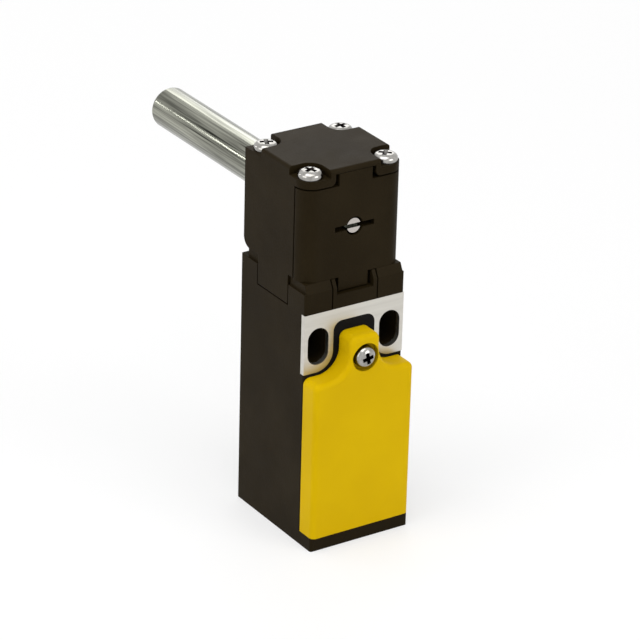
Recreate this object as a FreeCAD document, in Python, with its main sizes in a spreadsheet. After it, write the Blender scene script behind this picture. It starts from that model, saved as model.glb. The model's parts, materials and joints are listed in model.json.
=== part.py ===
"""Safety hinge switch: a black housing with a yellow wiring cover, and a head whose shaft follows a guard's hinge.

Millimetres. The origin lies on the back mounting face, midway between the two mounting slots.
+X is to the right and +Z up as one faces the cover, and +Y points out of the back, along the shaft.
"""

import FreeCAD, Part
import math
import os
from types import SimpleNamespace

import Sketcher

SIZES = {
    # Housing
    "body_width": 25.0,
    "body_depth": 25.5,
    "slot_line_height": 46.5,
    "housing_wall": 2.2,
    "back_wall": 3.0,
    "floor_thickness": 8.0,
    "body_corner_radius": 0.5,
    "lip_height": 3.2,
    "lip_depth": 4.4,
    "rim_height": 12.5,
    "collar_height": 1.9,
    "collar_bevel_run": 1.0,
    "collar_side_inset": 0.45,
    "collar_back_inset": 2.3,
    "socket_radius": 9.0,
    "socket_depth": 4.7,
    "conduit_bore_radius": 7.2,
    # Mounting plate and its slots
    "slot_edge_distance": 3.5,
    "slot_width": 5.2,
    "slot_length": 8.5,
    "slot_boss_wall": 1.6,
    "plate_thickness": 1.25,
    "plate_top_height": 7.75,
    "plate_drop": 6.05,
    "plate_web": 1.2,
    "plate_cut_height": 4.8,
    "plate_cut_radius": 2.2,
    "plate_flare_radius": 4.2,
    # Wiring cover
    "cover_depth": 4.9,
    "cover_wall": 1.6,
    "shoulder_drop": 6.75,
    "shoulder_radius": 1.5,
    "neck_band": 1.5,
    "neck_height": 2.4,
    "neck_radius": 1.6,
    "shoulder_flat": 1.9,
    "cover_edge_radius": 1.2,
    "seal_inset": 1.0,
    # Cover screw
    "cover_screw_drop": 2.65,
    "neck_screw_wall": 0.5,
    "cover_screw_seat_depth": 1.7,
    "cover_screw_head_gap": 0.7,
    "cover_screw_head_height": 2.6,
    "cover_screw_shank_radius": 1.4,
    "screw_tip_wall": 0.8,
    # Head
    "head_front_step": 1.0,
    "head_back_step": 0.9,
    "head_height": 24.8,
    "head_corner_radius": 3.7,
    "shell_wall": 1.8,
    "shell_back_wall": 4.9,
    "shell_lift": 0.3,
    "shell_edge_radius": 0.7,
    "shell_heel_radius": 2.4,
    "shell_gap": 0.4,
    "top_thickness": 3.55,
    "ear_thickness": 1.7,
    "ear_notch_radius": 3.1,
    "ear_gap": 0.35,
    "ear_corner_radius": 1.2,
    "cheek_tab_width": 11.7,
    "cheek_tab_length": 6.7,
    "tongue_width": 8.2,
    "tongue_height": 2.4,
    "tongue_gap": 0.9,
    "tongue_depth": 2.4,
    "key_width": 11.6,
    "key_depth": 2.2,
    "key_notch_width": 9.2,
    "key_notch_depth": 3.45,
    "front_tab_width": 7.4,
    "fit_gap": 0.1,
    "seam_gap": 0.3,
    # Head screws
    "head_screw_inset": 3.2,
    "head_screw_head_radius": 2.7,
    "head_screw_head_height": 1.7,
    "head_screw_shank_radius": 1.15,
    "head_screw_grip": 7.0,
    # Shaft and its bearings
    "shaft_drop": 13.75,
    "shaft_radius": 4.75,
    "shaft_reach": 51.7,
    "rear_journal_radius": 4.2,
    "shaft_end_radius": 0.9,
    "running_gap": 0.03,
    "stub_radius": 1.65,
    "stub_recess": 0.35,
    "stub_window_radius": 2.1,
    "stub_slot_width": 0.9,
    "stub_slot_depth": 1.2,
    "mark_length": 9.8,
    "mark_width": 1.2,
    "mark_depth": 2.5,
    "journal_radius": 3.5,
    "cam_seat_radius": 4.0,
    "front_bush_radius": 5.4,
    "front_bush_length": 4.4,
    "rear_bush_radius": 7.0,
    "bush_flange_width": 1.2,
    "bush_flange_thickness": 0.6,
    "seal_thickness": 2.5,
    "washer_thickness": 0.8,
    "clip_thickness": 0.7,
    "clip_radius": 5.4,
    "clip_groove_depth": 0.4,
    # Cam and plunger
    "cam_base_radius": 5.6,
    "cam_rise_per_radian": 0.76,
    "cam_width": 4.6,
    "cam_pin_radius": 1.0,
    "cam_clearance": 0.1,
    "chamber_clearance": 0.6,
    "plunger_radius": 2.0,
    "plunger_collar_radius": 3.6,
    "plunger_collar_thickness": 1.0,
    "plunger_tip_length": 2.6,
    "plunger_bottom_drop": 2.9,
    "guide_gap": 0.05,
    "guide_radius": 4.0,
    "guide_flange_radius": 4.8,
    "guide_flange_thickness": 1.0,
    "guide_length": 4.5,
    "spring_radius": 2.9,
    "spring_wire_radius": 0.35,
    "spring_turns": 3.0,
    "spring_bore_radius": 5.0,
    "head_seal_thickness": 0.7,
    # Contacts
    "carrier_width": 5.0,
    "carrier_depth": 7.2,
    "carrier_length": 25.7,
    "carrier_gap": 0.3,
    "bridge_pitch": 7.0,
    "first_bridge_drop": 13.0,
    "bridge_span": 14.8,
    "bridge_width": 3.8,
    "bridge_thickness": 0.9,
    "bridge_tip_radius": 1.1,
    "bridge_tip_height": 0.5,
    "bridge_tip_spacing": 12.4,
    "contact_spring_height": 2.6,
    "contact_spring_thickness": 0.3,
    "contact_gap": 0.1,
    "strip_width": 4.0,
    "strip_thickness": 0.8,
    "strip_leg_length": 4.4,
    "contact_block_front_wall": 2.0,
    "contact_block_lift": 3.45,
    "contact_block_top_drop": 6.6,
    "terminal_clamp_side": 4.0,
    "terminal_clamp_thickness": 0.9,
    "terminal_head_radius": 1.9,
    "terminal_head_height": 1.4,
    "terminal_shank_radius": 1.25,
    "terminal_shank_length": 4.4,
    "block_screw_inset": 2.6,
    "block_screw_head_radius": 2.1,
    "block_screw_head_height": 1.5,
    "block_screw_shank_radius": 1.1,
    "block_screw_lift": 1.9,
    "block_screw_grip": 2.2,
}
SHEET_NAME = "Sizes"
NEAR = 1e-6
CAM_CURVE_POINTS = 13
SPRING_WIRE_SIDES = 6
HALF_TURN = math.pi


class Size:
    """A length that carries its number and the expression that gives it from the sheet."""

    def __init__(self, value, text):
        self.value = value
        self.text = text

    def __add__(self, other):
        other = as_size(other)
        return Size(self.value + other.value, f"({self.text} + {other.text})")

    def __sub__(self, other):
        other = as_size(other)
        return Size(self.value - other.value, f"({self.text} - {other.text})")

    def __mul__(self, factor):
        return Size(self.value * factor, f"({self.text} * {factor})")

    def __truediv__(self, divisor):
        return Size(self.value / divisor, f"({self.text} / {divisor})")

    def __neg__(self):
        return Size(-self.value, f"(-{self.text})")


def as_size(item):
    """A plain number as a size, and a size as it is."""
    return item if isinstance(item, Size) else Size(float(item), f"({float(item)})")


def fill_sheet(document):
    """Writes each driving size to the sheet and returns the sizes by name."""
    sheet = document.addObject("Spreadsheet::Sheet", SHEET_NAME)
    for row, (name, number) in enumerate(SIZES.items(), start=1):
        sheet.set(f"A{row}", name)
        sheet.set(f"B{row}", str(number))
        sheet.setAlias(f"B{row}", name)
    document.recompute()
    return SimpleNamespace(**{name: Size(number, f"{SHEET_NAME}.{name}") for name, number in SIZES.items()})


doc = FreeCAD.newDocument("safety_hinge_switch")
dim = fill_sheet(doc)
nodes = []

# Levels and half widths that several pieces share
ZERO = as_size(0)
half_width = dim.body_width / 2
slot_across = half_width - dim.slot_edge_distance
front = -dim.body_depth
cover_front = front - dim.cover_depth
lip_front = front - dim.lip_depth
plate_back = front + dim.plate_thickness
bottom = -dim.slot_line_height
lip_top = bottom + dim.lip_height
floor_top = bottom + dim.floor_thickness
rim = dim.rim_height
collar_top = rim + dim.collar_height
socket_floor = collar_top - dim.socket_depth
plate_top = dim.plate_top_height
plate_bottom = -dim.plate_drop
cavity_half = half_width - dim.housing_wall
cavity_back = -dim.back_wall
shoulder = -dim.shoulder_drop
cover_screw_height = -dim.cover_screw_drop
cover_screw_seat = cover_front + dim.cover_screw_seat_depth
plate_cut_half = slot_across - dim.slot_width / 2 - dim.plate_web
neck_half = plate_cut_half - dim.neck_band
cover_screw_seat_radius = neck_half - dim.neck_screw_wall
cover_screw_head_radius = cover_screw_seat_radius - dim.cover_screw_head_gap
neck_flare_radius = half_width - neck_half - dim.shoulder_radius - dim.shoulder_flat

head_front = front + dim.head_front_step
head_back = -dim.head_back_step
head_middle = (head_front + head_back) / 2
head_top = collar_top + dim.head_height
ear_bottom = head_top - dim.top_thickness
ear_seat = ear_bottom + dim.ear_thickness
block_top = ear_bottom - dim.ear_gap
shell_bottom = collar_top + dim.shell_lift
shell_inner_half = half_width - dim.shell_wall
shell_back_inner = head_back - dim.shell_back_wall
block_half = shell_inner_half - dim.fit_gap
block_back = shell_back_inner - dim.fit_gap
block_step = head_front + dim.head_corner_radius + dim.fit_gap
cheek_front = block_step + dim.shell_gap
tab_bottom = shell_bottom - dim.cheek_tab_length
key_notch_floor = collar_top - dim.key_notch_depth
tongue_top = ear_bottom + dim.tongue_height
head_screw_end = collar_top - dim.head_screw_grip

shaft_axis = head_top - dim.shaft_drop
stub_front = head_front + dim.stub_recess
cam_front = head_middle - dim.cam_width / 2
cam_back = head_middle + dim.cam_width / 2
cam_tip_radius = dim.cam_base_radius + dim.cam_rise_per_radian * HALF_TURN
chamber_radius = cam_tip_radius + dim.chamber_clearance
clip_back = cam_front - dim.fit_gap
clip_front = clip_back - dim.clip_thickness
seat_front = clip_front - dim.clip_groove_depth
chamber_front = seat_front - dim.fit_gap - dim.bush_flange_thickness
washer_front = cam_back + dim.fit_gap
washer_back = washer_front + dim.washer_thickness
rear_flange_front = washer_back + dim.fit_gap
chamber_back = rear_flange_front + dim.bush_flange_thickness
front_bush_front = chamber_front - dim.front_bush_length
seal_back = shell_back_inner + dim.seal_thickness
shoulder_front = head_back + dim.shell_gap

head_seal_top = socket_floor + dim.head_seal_thickness
guide_top = socket_floor + dim.guide_flange_thickness
guide_bottom = socket_floor - dim.guide_length
neck_cavity_half = slot_across - dim.slot_width / 2 - dim.slot_boss_wall
neck_cavity_top = socket_floor - dim.guide_length + dim.guide_flange_thickness
cavity_top = -(dim.slot_length / 2) - dim.slot_boss_wall
plunger_tip = shaft_axis - dim.cam_base_radius - dim.cam_clearance
plunger_collar_top = plunger_tip - dim.plunger_tip_length
plunger_collar_bottom = plunger_collar_top - dim.plunger_collar_thickness
plunger_bottom = -dim.plunger_bottom_drop
plunger_travel = dim.cam_rise_per_radian * HALF_TURN

contact_front = head_middle - dim.carrier_depth / 2 - dim.carrier_gap - dim.contact_block_front_wall
cover_screw_end = contact_front - dim.screw_tip_wall
contact_block_top = -dim.contact_block_top_drop
contact_block_half = cavity_half - dim.fit_gap
carrier_bottom = plunger_bottom - dim.carrier_length
strip_middle = dim.bridge_tip_spacing / 2
strip_front = contact_front - dim.strip_thickness
clamp_front = strip_front - dim.terminal_clamp_thickness
contact_block_bottom = floor_top + dim.contact_block_lift
block_screw_height = contact_block_bottom + dim.block_screw_lift
block_screw_across = contact_block_half - dim.block_screw_inset

# The two upper bridges open as the plunger goes down, and the lowest one closes
BREAK = "break"
MAKE = "make"
bridge_levels = [
    (-dim.first_bridge_drop, BREAK),
    (-dim.first_bridge_drop - dim.bridge_pitch, BREAK),
    (-dim.first_bridge_drop - dim.bridge_pitch * 2, MAKE),
]


def strip_level(level, kind):
    """Underside of the fixed strip that the tips of a bridge meet."""
    if kind == BREAK:
        return level + dim.bridge_thickness + dim.bridge_tip_height + dim.contact_gap
    return level - dim.bridge_tip_height - plunger_travel - dim.contact_gap - dim.strip_thickness


def terminal_places():
    """Middle of each terminal, as across and height."""
    places = []
    for level, kind in bridge_levels:
        height = strip_level(level, kind) + dim.strip_thickness / 2 + dim.strip_leg_length / 2
        places += [(-strip_middle, height), (strip_middle, height)]
    return places


def head_screw_places():
    """The four head screws, as across and depth."""
    across = half_width - dim.head_screw_inset
    depths = (head_front + dim.head_screw_inset, head_back - dim.head_screw_inset)
    return [(x, y) for x in (-across, across) for y in depths]


# Drawing and building steps


def rect(left, right, low, high, radius=None):
    """Corners of an upright rectangle, all rounded alike where a radius is given."""
    corners = [(left, low), (right, low), (right, high), (left, high)]
    return [corner + (radius,) for corner in corners] if radius else corners


def disc(across, up, radius):
    """A circle by its middle and radius."""
    return SimpleNamespace(across=as_size(across), up=as_size(up), radius=as_size(radius))


def slot(across, up):
    """A mounting slot, upright with round ends."""
    half = dim.slot_width / 2
    reach = dim.slot_length / 2
    return rect(across - half, across + half, up - reach, up + reach, half)


def mounting_slots():
    """Both mounting slots."""
    return [slot(slot_across, ZERO), slot(-slot_across, ZERO)]


def stepped(corner, neighbour, distance):
    """The point at a distance from a corner towards a neighbour in line with it."""
    across = neighbour[0].value - corner[0].value
    up = neighbour[1].value - corner[1].value
    if abs(across) > abs(up):
        return corner[0] + distance * math.copysign(1.0, across), corner[1]
    return corner[0], corner[1] + distance * math.copysign(1.0, up)


def chain_of(corners):
    """The outline as points, each with the rounded corner that starts there, if any."""
    corners = [tuple(as_size(item) for item in corner) for corner in corners]
    chain = []
    for index, corner in enumerate(corners):
        if len(corner) == 2:
            chain.append((corner, None))
            continue
        following = corners[(index + 1) % len(corners)]
        start = stepped(corner, corners[index - 1], corner[2])
        end = stepped(corner, following, corner[2])
        middle = [start[k].value + end[k].value - corner[k].value for k in (0, 1)]
        chain.append((start, (corner[2], middle)))
        chain.append((end, None))
    kept = []
    for index, (point, arc) in enumerate(chain):
        other = chain[(index + 1) % len(chain)][0]
        apart = max(abs(point[k].value - other[k].value) for k in (0, 1))
        if arc or apart > NEAR:
            kept.append((point, arc))
    return kept


def pinned(sketch, constraints, sizes):
    """Adds constraints and ties each to the expression of its size."""
    first = sketch.ConstraintCount
    sketch.addConstraint(constraints)
    for index, size in enumerate(sizes):
        if size is not None:
            sketch.setExpression(f"Constraints[{first + index}]", size.text)


def draw_outline(sketch, corners):
    """Draws a closed outline of lines and quarter rounds, with every point pinned."""
    chain = chain_of(corners)
    ends = []
    constraints = []
    sizes = []
    for index, (point, arc) in enumerate(chain):
        start = FreeCAD.Vector(point[0].value, point[1].value, 0)
        following = chain[(index + 1) % len(chain)][0]
        end = FreeCAD.Vector(following[0].value, following[1].value, 0)
        if arc is None:
            geometry = sketch.addGeometry(Part.LineSegment(start, end), False)
            ends.append((geometry, 1, 2))
            continue
        middle = FreeCAD.Vector(*arc[1], 0)
        circle = Part.Circle(middle, FreeCAD.Vector(0, 0, 1), arc[0].value)
        turns_left = (start - middle).cross(end - middle).z > 0
        first, last = (start, end) if turns_left else (end, start)
        angles = [math.atan2(place.y - middle.y, place.x - middle.x) for place in (first, last)]
        geometry = sketch.addGeometry(Part.ArcOfCircle(circle, *angles), False)
        ends.append((geometry, 1, 2) if turns_left else (geometry, 2, 1))
        constraints.append(Sketcher.Constraint("Radius", geometry, arc[0].value))
        sizes.append(arc[0])
    for index, (geometry, start, end) in enumerate(ends):
        other, other_start, _ = ends[(index + 1) % len(ends)]
        point = chain[index][0]
        constraints.append(Sketcher.Constraint("Coincident", geometry, end, other, other_start))
        constraints.append(Sketcher.Constraint("DistanceX", -1, 1, geometry, start, point[0].value))
        constraints.append(Sketcher.Constraint("DistanceY", -1, 1, geometry, start, point[1].value))
        sizes += [None, point[0], point[1]]
    pinned(sketch, constraints, sizes)


def draw_disc(sketch, shape):
    """Draws a circle with its middle and radius pinned."""
    middle = FreeCAD.Vector(shape.across.value, shape.up.value, 0)
    circle = Part.Circle(middle, FreeCAD.Vector(0, 0, 1), shape.radius.value)
    geometry = sketch.addGeometry(circle, False)
    constraints = [
        Sketcher.Constraint("Radius", geometry, shape.radius.value),
        Sketcher.Constraint("DistanceX", -1, 1, geometry, 3, shape.across.value),
        Sketcher.Constraint("DistanceY", -1, 1, geometry, 3, shape.up.value),
    ]
    pinned(sketch, constraints, [shape.radius, shape.across, shape.up])


def new_sketch(body, plane, offsets, shapes):
    """A sketch on one of the body's own planes, moved by offsets in the sketch's axes."""
    sketch = body.newObject("Sketcher::SketchObject", f"{body.Name}_sketch")
    support = next(item for item in body.Origin.OriginFeatures if item.Role == f"{plane}_Plane")
    sketch.AttachmentSupport = (support, [""])
    sketch.MapMode = "FlatFace"
    for axis, offset in zip("xyz", offsets):
        sketch.setExpression(f"AttachmentOffset.Base.{axis}", offset.text)
    for shape in shapes:
        if isinstance(shape, SimpleNamespace):
            draw_disc(sketch, shape)
        else:
            draw_outline(sketch, shape)
    return sketch


def new_body(name):
    """A named piece of the switch."""
    body = doc.addObject("PartDesign::Body", name)
    body.Label = name
    nodes.append(body)
    return body


def facing(plane, level):
    """Offset along a plane's normal that puts a sketch at a level; the XZ plane faces -Y."""
    return -level if plane == "XZ" else level


def pad(body, plane, low, high, *shapes):
    """Adds the shapes drawn on a plane, from a low level to a high one."""
    start = high if plane == "XZ" else low
    feature = body.newObject("PartDesign::Pad", f"{body.Name}_pad")
    feature.Profile = new_sketch(body, plane, (ZERO, ZERO, facing(plane, start)), shapes)
    feature.setExpression("Length", (high - low).text)
    return feature


def cut(body, plane, low, high, *shapes):
    """Takes the shapes drawn on a plane away, from a low level to a high one."""
    start = low if plane == "XZ" else high
    feature = body.newObject("PartDesign::Pocket", f"{body.Name}_cut")
    feature.Profile = new_sketch(body, plane, (ZERO, ZERO, facing(plane, start)), shapes)
    feature.setExpression("Length", (high - low).text)
    return feature


def turn_along_y(body, across, height, outline):
    """Adds a turned form about an axis along Y; its outline is given as depth and radius."""
    feature = body.newObject("PartDesign::Revolution", f"{body.Name}_turned")
    sketch = new_sketch(body, "YZ", (ZERO, height, across), [outline])
    feature.Profile = sketch
    feature.ReferenceAxis = (sketch, ["H_Axis"])
    return feature


def turn_along_z(body, across, depth, outline):
    """Adds a turned form about an axis along Z; its outline is given as radius and height."""
    feature = body.newObject("PartDesign::Revolution", f"{body.Name}_turned")
    sketch = new_sketch(body, "XZ", (across, ZERO, -depth), [outline])
    feature.Profile = sketch
    feature.ReferenceAxis = (sketch, ["V_Axis"])
    return feature


def fillet(body, radius, chosen):
    """Rounds those edges of the body's last feature that a test picks."""
    doc.recompute()
    base = body.Tip
    names = [f"Edge{index}" for index, edge in enumerate(base.Shape.Edges, start=1) if chosen(edge.BoundBox)]
    feature = body.newObject("PartDesign::Fillet", f"{body.Name}_fillet")
    feature.Base = (base, names)
    feature.setExpression("Radius", radius.text)


def ring_outline(inner, outer, low, high):
    """Outline of a plain ring for turning along Y."""
    return [(low, inner), (high, inner), (high, outer), (low, outer)]


# Housing and cover


def make_housing():
    body = new_body("housing")
    outline = rect(-half_width, half_width, front, ZERO, dim.body_corner_radius)
    pad(body, "XY", bottom, rim, outline)
    lip_back = front + dim.body_corner_radius * 2
    pad(body, "XY", bottom, lip_top, rect(-half_width, half_width, lip_front, lip_back, dim.body_corner_radius))
    collar_half = half_width - dim.collar_side_inset
    pad(body, "XY", rim, collar_top, rect(-collar_half, collar_half, front, -dim.collar_back_inset))
    cut(body, "YZ", -half_width, half_width, collar_bevel())
    cut(body, "XZ", front, plate_back, rect(-half_width, half_width, plate_bottom, plate_top))
    cut(body, "XZ", front, plate_back, rect(-seal_half(), seal_half(), seal_bottom(), plate_bottom))
    cut(body, "XZ", plate_back, cavity_back, rect(-cavity_half, cavity_half, floor_top, cavity_top))
    neck = rect(-neck_cavity_half, neck_cavity_half, cavity_top - dim.slot_boss_wall, neck_cavity_top)
    cut(body, "XZ", contact_front, cavity_back, neck)
    cut(body, "XZ", front, ZERO, *mounting_slots())
    cut(body, "XZ", plate_back, cover_screw_end, disc(0, cover_screw_height, dim.cover_screw_shank_radius))
    cut(body, "XY", bottom, floor_top, disc(0, lip_front / 2, dim.conduit_bore_radius))
    cut(body, "XY", socket_floor, collar_top, disc(0, head_middle, dim.socket_radius))
    cut(body, "XY", neck_cavity_top, socket_floor, disc(0, head_middle, dim.guide_radius))
    notch_half = dim.cheek_tab_width / 2 + dim.seam_gap
    notch_inner = shell_inner_half - dim.fit_gap
    notch_ends = (head_middle - notch_half, head_middle + notch_half)
    for left, right in ((-half_width, -notch_inner), (notch_inner, half_width)):
        cut(body, "XY", tab_bottom - dim.seam_gap, collar_top, rect(left, right, *notch_ends))
    key_half = dim.key_width / 2
    cut(body, "XZ", front, front + dim.key_depth, rect(-key_half, key_half, plate_top, collar_top))
    pilots = [disc(x, y, dim.head_screw_shank_radius) for x, y in head_screw_places()]
    cut(body, "XY", head_screw_end, collar_top, *pilots)
    block_screws = (-block_screw_across, block_screw_across)
    pilots = [disc(x, block_screw_height, dim.block_screw_shank_radius) for x in block_screws]
    cut(body, "XZ", cavity_back, cavity_back + dim.block_screw_grip, *pilots)


def collar_bevel():
    """The wedge taken off the collar's front edge, as depth and height."""
    return [(front, rim), (front + dim.collar_bevel_run, collar_top), (front, collar_top)]


def seal_half():
    """Half width of the cover's seal."""
    return half_width - dim.seal_inset


def seal_bottom():
    """Lower edge of the cover's seal."""
    return lip_top + dim.seal_inset


def make_mounting_plate():
    body = new_body("mounting_plate")
    outline = [
        (-half_width, plate_top),
        (half_width, plate_top),
        (half_width, plate_bottom),
        (plate_cut_half, plate_bottom, dim.plate_flare_radius),
        (plate_cut_half, dim.plate_cut_height, dim.plate_cut_radius),
        (-plate_cut_half, dim.plate_cut_height, dim.plate_cut_radius),
        (-plate_cut_half, plate_bottom, dim.plate_flare_radius),
        (-half_width, plate_bottom),
    ]
    pad(body, "XZ", front, plate_back, outline, *mounting_slots())


def make_cover_seal():
    body = new_body("cover_seal")
    outline = [
        (-seal_half(), seal_bottom()),
        (seal_half(), seal_bottom()),
        (seal_half(), plate_bottom),
        (plate_cut_half, plate_bottom, dim.plate_flare_radius),
        (plate_cut_half, dim.plate_cut_height, dim.plate_cut_radius),
        (-plate_cut_half, dim.plate_cut_height, dim.plate_cut_radius),
        (-plate_cut_half, plate_bottom, dim.plate_flare_radius),
        (-seal_half(), plate_bottom),
    ]
    opening = rect(-cavity_half, cavity_half, floor_top, shoulder - dim.cover_wall)
    hole = disc(0, cover_screw_height, dim.cover_screw_shank_radius)
    pad(body, "XZ", front, plate_back, outline, opening, hole)


def make_cover():
    body = new_body("cover")
    outline = [
        (-half_width, lip_top),
        (half_width, lip_top),
        (half_width, shoulder, dim.shoulder_radius),
        (neck_half, shoulder, neck_flare_radius),
        (neck_half, dim.neck_height, dim.neck_radius),
        (-neck_half, dim.neck_height, dim.neck_radius),
        (-neck_half, shoulder, neck_flare_radius),
        (-half_width, shoulder, dim.shoulder_radius),
    ]
    pad(body, "XZ", cover_front, front, outline)
    front_level = cover_front.value
    low_level = lip_top.value
    fillet(body, dim.cover_edge_radius, lambda box: box.YMax < front_level + NEAR and box.ZMax > low_level + NEAR)
    inside = rect(
        -half_width + dim.cover_wall,
        half_width - dim.cover_wall,
        lip_top + dim.cover_wall,
        shoulder - dim.cover_wall,
    )
    cut(body, "XZ", cover_front + dim.cover_wall, front, inside)
    cut(body, "XZ", cover_front, cover_screw_seat, disc(0, cover_screw_height, cover_screw_seat_radius))
    cut(body, "XZ", cover_screw_seat, front, disc(0, cover_screw_height, dim.cover_screw_shank_radius + dim.fit_gap))


def screw_outline(seat, head_top_level, end, head_radius, shank_radius):
    """Half outline of a screw with a bevelled head, as distance along its axis and radius."""
    return [
        (head_top_level, ZERO),
        (head_top_level, (head_radius + shank_radius) / 2),
        ((head_top_level + seat) / 2, head_radius),
        (seat, head_radius),
        (seat, shank_radius),
        (end, shank_radius),
        (end, ZERO),
    ]


def make_cover_screw():
    body = new_body("cover_screw")
    outline = screw_outline(
        cover_screw_seat,
        cover_screw_seat - dim.cover_screw_head_height,
        cover_screw_end,
        cover_screw_head_radius,
        dim.cover_screw_shank_radius,
    )
    turn_along_y(body, ZERO, cover_screw_height, outline)


# Head


def make_head_key():
    body = new_body("head_key")
    half = dim.key_width / 2 - dim.seam_gap
    notch = dim.key_notch_width / 2
    top = collar_top - dim.fit_gap
    outline = [
        (-half, plate_top),
        (half, plate_top),
        (half, top),
        (notch, top),
        (notch, key_notch_floor),
        (-notch, key_notch_floor),
        (-notch, top),
        (-half, top),
    ]
    pad(body, "XZ", front, front + dim.key_depth, outline)
    cut(body, "YZ", -half, half, collar_bevel())


def make_head_seal():
    body = new_body("head_seal")
    outer = disc(0, head_middle, dim.socket_radius - dim.fit_gap)
    inner = disc(0, head_middle, dim.spring_bore_radius)
    pad(body, "XY", socket_floor, head_seal_top, outer, inner)


def make_head_block():
    body = new_body("head_block")
    outline = [
        (-half_width, head_front, dim.head_corner_radius),
        (half_width, head_front, dim.head_corner_radius),
        (half_width, block_step),
        (block_half, block_step),
        (block_half, block_back),
        (-block_half, block_back),
        (-block_half, block_step),
        (-half_width, block_step),
    ]
    pad(body, "XY", collar_top, block_top, outline)
    pad(body, "XY", head_seal_top, collar_top, disc(0, head_middle, dim.socket_radius - dim.fit_gap))
    tongue_half = dim.tongue_width / 2
    tongue_back = head_front + dim.tongue_depth
    pad(body, "XZ", head_front, tongue_back, rect(-tongue_half, tongue_half, collar_top, tongue_top))
    tab_half = dim.front_tab_width / 2
    tab_back = front + dim.key_depth
    pad(body, "XZ", head_front, tab_back, rect(-tab_half, tab_half, key_notch_floor + dim.seam_gap, block_top))
    chamber = disc(0, shaft_axis, chamber_radius)
    cut(body, "XZ", chamber_front, chamber_back, chamber)
    cut(body, "XZ", chamber_front, chamber_back, rect(-chamber_radius, chamber_radius, shaft_axis, block_top))
    cut(body, "XY", head_seal_top, shaft_axis, disc(0, head_middle, dim.spring_bore_radius))
    cut(body, "XZ", front_bush_front, chamber_front, disc(0, shaft_axis, dim.front_bush_radius))
    cut(body, "XZ", head_front, front_bush_front, disc(0, shaft_axis, dim.stub_window_radius))
    mark_half = dim.mark_length / 2
    mark_low = shaft_axis - dim.mark_width / 2
    mark_high = shaft_axis + dim.mark_width / 2
    cut(body, "XZ", head_front, head_front + dim.mark_depth, rect(-mark_half, mark_half, mark_low, mark_high))
    cut(body, "XZ", chamber_back, block_back, disc(0, shaft_axis, dim.rear_bush_radius))
    holes = [disc(x, y, dim.head_screw_shank_radius) for x, y in head_screw_places() if y.value < block_back.value]
    cut(body, "XY", collar_top, block_top, *holes)


def corner_notches():
    """Quarter-round notches that bare the four head screws at the corners of the shell's top."""
    notches = []
    reach = dim.ear_notch_radius
    depth = dim.head_screw_inset + reach
    for side in (-1, 1):
        edge = half_width * side
        inner = (half_width - depth) * side
        for level, inner_level in ((head_front, head_front + depth), (head_back, head_back - depth)):
            notches.append([(inner, inner_level, reach), (edge, inner_level), (edge, level), (inner, level)])
    return notches


def make_head_shell():
    body = new_body("head_shell")
    pad(body, "XY", shell_bottom, head_top, rect(-half_width, half_width, cheek_front, head_back))
    ears = [
        (-half_width, head_front, dim.head_corner_radius),
        (half_width, head_front, dim.head_corner_radius),
        (half_width, cheek_front + dim.shell_wall),
        (-half_width, cheek_front + dim.shell_wall),
    ]
    pad(body, "XY", ear_bottom, head_top, ears)
    inner = rect(-shell_inner_half, shell_inner_half, cheek_front, shell_back_inner)
    cut(body, "XY", shell_bottom, ear_bottom, inner)
    cut(body, "XY", ear_seat, head_top, *corner_notches())
    ear_end = dim.tongue_width / 2 + dim.tongue_gap
    wide = ear_end + dim.ear_corner_radius
    room_top = tongue_top + dim.fit_gap
    tongue_room = [
        (-wide, block_top),
        (wide, block_top),
        (wide, ear_bottom),
        (ear_end, ear_bottom, dim.ear_corner_radius),
        (ear_end, room_top),
        (-ear_end, room_top),
        (-ear_end, ear_bottom, dim.ear_corner_radius),
        (-wide, ear_bottom),
    ]
    cut(body, "XZ", head_front, head_front + dim.tongue_depth + dim.fit_gap, tongue_room)
    top_level = head_top.value
    side_level = half_width.value
    front_level = head_front.value
    back_level = head_back.value
    low_level = shell_bottom.value

    def on_outer_top(box):
        beside = box.XMin > side_level - NEAR or box.XMax < NEAR - side_level
        ahead = box.YMax < front_level + NEAR or box.YMin > back_level - NEAR
        return box.ZMin > top_level - NEAR and (beside or ahead)

    fillet(body, dim.shell_edge_radius, on_outer_top)
    fillet(body, dim.shell_heel_radius, lambda box: box.YMin > back_level - NEAR and box.ZMax < low_level + NEAR)
    tab_half = dim.cheek_tab_width / 2
    tab = rect(head_middle - tab_half, head_middle + tab_half, tab_bottom, ear_bottom)
    pad(body, "YZ", -half_width, -shell_inner_half, tab)
    pad(body, "YZ", shell_inner_half, half_width, tab)
    holes = [disc(x, y, dim.head_screw_shank_radius) for x, y in head_screw_places()]
    cut(body, "XY", shell_bottom, ear_seat, *holes)
    cut(body, "XZ", shell_back_inner, seal_back, disc(0, shaft_axis, dim.rear_bush_radius))
    cut(body, "XZ", seal_back, head_back, disc(0, shaft_axis, dim.rear_journal_radius + dim.shell_gap))


def make_head_screws():
    body = new_body("head_screws")
    top = ear_seat + dim.head_screw_head_height
    outline = screw_outline(ear_seat, top, head_screw_end, dim.head_screw_head_radius, dim.head_screw_shank_radius)
    upright = [(corner[1], corner[0], *corner[2:]) for corner in outline]
    for x, y in head_screw_places():
        turn_along_z(body, x, y, upright)


# Shaft, its bearings and the cam


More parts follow.
